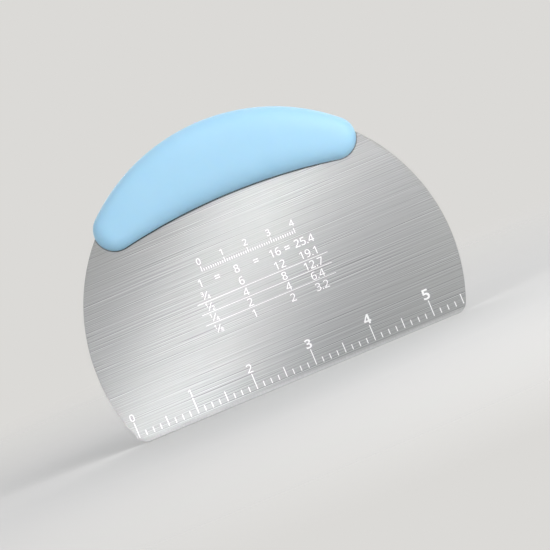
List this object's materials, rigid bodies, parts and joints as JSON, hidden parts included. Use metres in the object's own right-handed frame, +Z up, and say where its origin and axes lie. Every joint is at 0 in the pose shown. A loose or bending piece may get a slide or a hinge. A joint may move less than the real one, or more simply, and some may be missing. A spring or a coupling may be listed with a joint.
{
  "type": "dough scraper",
  "caption": "Half-moon steel dough scraper with a straight ground edge and a soft-edged crescent handle along its rounded top.",
  "frame": {"origin": "middle of the straight scraping edge, halfway through the sheet", "axes": "+X along the straight edge, +Y through the thickness and away from the printed front, +Z up from the edge to the handle"},
  "size_m": [0.1524, 0.019, 0.1103],
  "materials": {
    "blade_steel": "brushed",
    "handle_plastic": "matte",
    "pin_steel": "satin",
    "print_ink": "satin"
  },
  "bodies": {
    "root": {"blade": "blade_steel", "front_handle_shell": "handle_plastic", "rear_handle_shell": "handle_plastic", "handle_pin_1": "pin_steel", "handle_pin_2": "pin_steel", "handle_pin_3": "pin_steel", "handle_pin_4": "pin_steel", "handle_pin_5": "pin_steel"}
  },
  "joints": []
}
